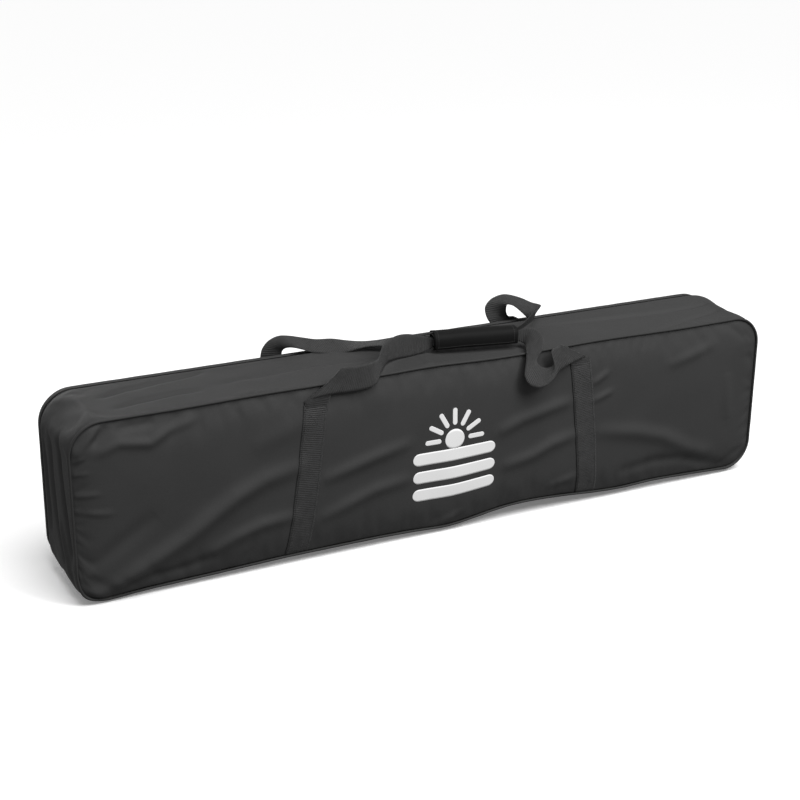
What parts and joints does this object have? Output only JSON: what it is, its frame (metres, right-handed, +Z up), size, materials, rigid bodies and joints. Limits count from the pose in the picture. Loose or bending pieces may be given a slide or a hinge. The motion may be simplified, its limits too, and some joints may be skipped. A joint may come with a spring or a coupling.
{
  "type": "light tube carry bag",
  "caption": "Long black padded carry bag for light tubes, with a zipped rear panel, piped seams and two webbing handles held by a padded wrap.",
  "frame": {"origin": "centre of the base face that the bag stands on, on the floor plane", "axes": "+X along the length, to the right seen from the front; -Y is the handle side in front; +Z up"},
  "size_m": [1.204, 0.2139, 0.3221],
  "materials": {
    "outer_cloth": "plain woven polyester, soft sheen",
    "lining_cloth": "thin woven lining, matt",
    "padding": "closed-cell foam sheet, matt",
    "piping": "woven cover over a round cord",
    "binding_tape": "woven tape folded over the raw edges",
    "webbing": "ribbed woven webbing, matt",
    "thread": "sewing thread",
    "wrap_cloth": "padded woven cloth",
    "hook_and_loop": "hook and loop tape",
    "zip_tape": "woven zip tape",
    "zip_coil": "moulded coil",
    "slider_metal": "black lacquered die casting",
    "print_ink": "white screen print, matt"
  },
  "bodies": {
    "bag": {"front_panel": "outer_cloth", "front_foam": "padding", "front_lining": "lining_cloth", "front_piping": "piping", "front_seam_binding": "binding_tape", "top_gusset": "outer_cloth", "left_end_gusset": "outer_cloth", "right_end_gusset": "outer_cloth", "base_panel": "outer_cloth", "top_foam": "padding", "left_end_foam": "padding", "right_end_foam": "padding", "base_foam": "padding", "gusset_lining": "lining_cloth", "base_lining": "lining_cloth", "front_strap_left": "webbing", "front_strap_right": "webbing", "front_strap_stitching": "thread", "front_print": "print_ink", "zip_tape_bag": "zip_tape", "zip_coil_bag": "zip_coil", "zip_end_stops": "slider_metal"},
    "lid": {"rear_panel": "outer_cloth", "rear_foam": "padding", "rear_lining": "lining_cloth", "rear_piping": "piping", "rear_seam_binding": "binding_tape", "lid_rim": "outer_cloth", "zip_tape_lid": "zip_tape", "zip_coil_lid": "zip_coil", "rear_strap_left": "webbing", "rear_strap_right": "webbing", "rear_strap_stitching": "thread"},
    "left_slider": {"left_slider": "slider_metal"},
    "right_slider": {"right_slider": "slider_metal"},
    "left_pull_tab": {"left_pull_tab": "slider_metal"},
    "right_pull_tab": {"right_pull_tab": "slider_metal"},
    "front_handle": {"front_loop_left": "webbing", "front_loop_right": "webbing", "front_grip": "webbing", "handle_wrap": "wrap_cloth", "wrap_hook_strip": "hook_and_loop"},
    "wrap_flap": {"wrap_flap": "wrap_cloth", "wrap_loop_strip": "hook_and_loop"},
    "rear_handle": {"rear_loop_left": "webbing", "rear_loop_right": "webbing", "rear_grip": "webbing"}
  },
  "joints": [
    {"name": "lid_hinge", "type": "hinge", "parent": "bag", "child": "lid", "pos_m": [0, 0.077, 0.005], "axis": [-1, 0, 0], "range_deg": [0, 90]},
    {"name": "left_slider_travel", "type": "slide", "parent": "bag", "child": "left_slider", "axis": [-1, 0, 0], "range_m": [0, 0.52]},
    {"name": "right_slider_travel", "type": "slide", "parent": "bag", "child": "right_slider", "axis": [1, 0, 0], "range_m": [0, 0.52]},
    {"name": "left_pull_tab_turn", "type": "hinge", "parent": "left_slider", "child": "left_pull_tab", "pos_m": [-0.014, 0.064, 0.285], "axis": [0, 1, 0], "range_deg": [0, 160]},
    {"name": "right_pull_tab_turn", "type": "hinge", "parent": "right_slider", "child": "right_pull_tab", "pos_m": [0.014, 0.064, 0.285], "axis": [0, -1, 0], "range_deg": [0, 160]},
    {"name": "front_handle_swing", "type": "hinge", "parent": "bag", "child": "front_handle", "pos_m": [0, -0.09, 0.262], "axis": [1, 0, 0], "range_deg": [0, 175], "deforming": ["front_loop_left", "front_loop_right", "front_grip"]},
    {"name": "rear_handle_swing", "type": "hinge", "parent": "lid", "child": "rear_handle", "pos_m": [0, 0.09, 0.262], "axis": [-1, 0, 0], "range_deg": [0, 175], "deforming": ["rear_loop_left", "rear_loop_right", "rear_grip"]},
    {"name": "wrap_flap_turn", "type": "hinge", "parent": "front_handle", "child": "wrap_flap", "pos_m": [0.07435, -0.01471, 0.312], "axis": [-0.9836, 0.1805, 0], "range_deg": [0, 150]}
  ]
}
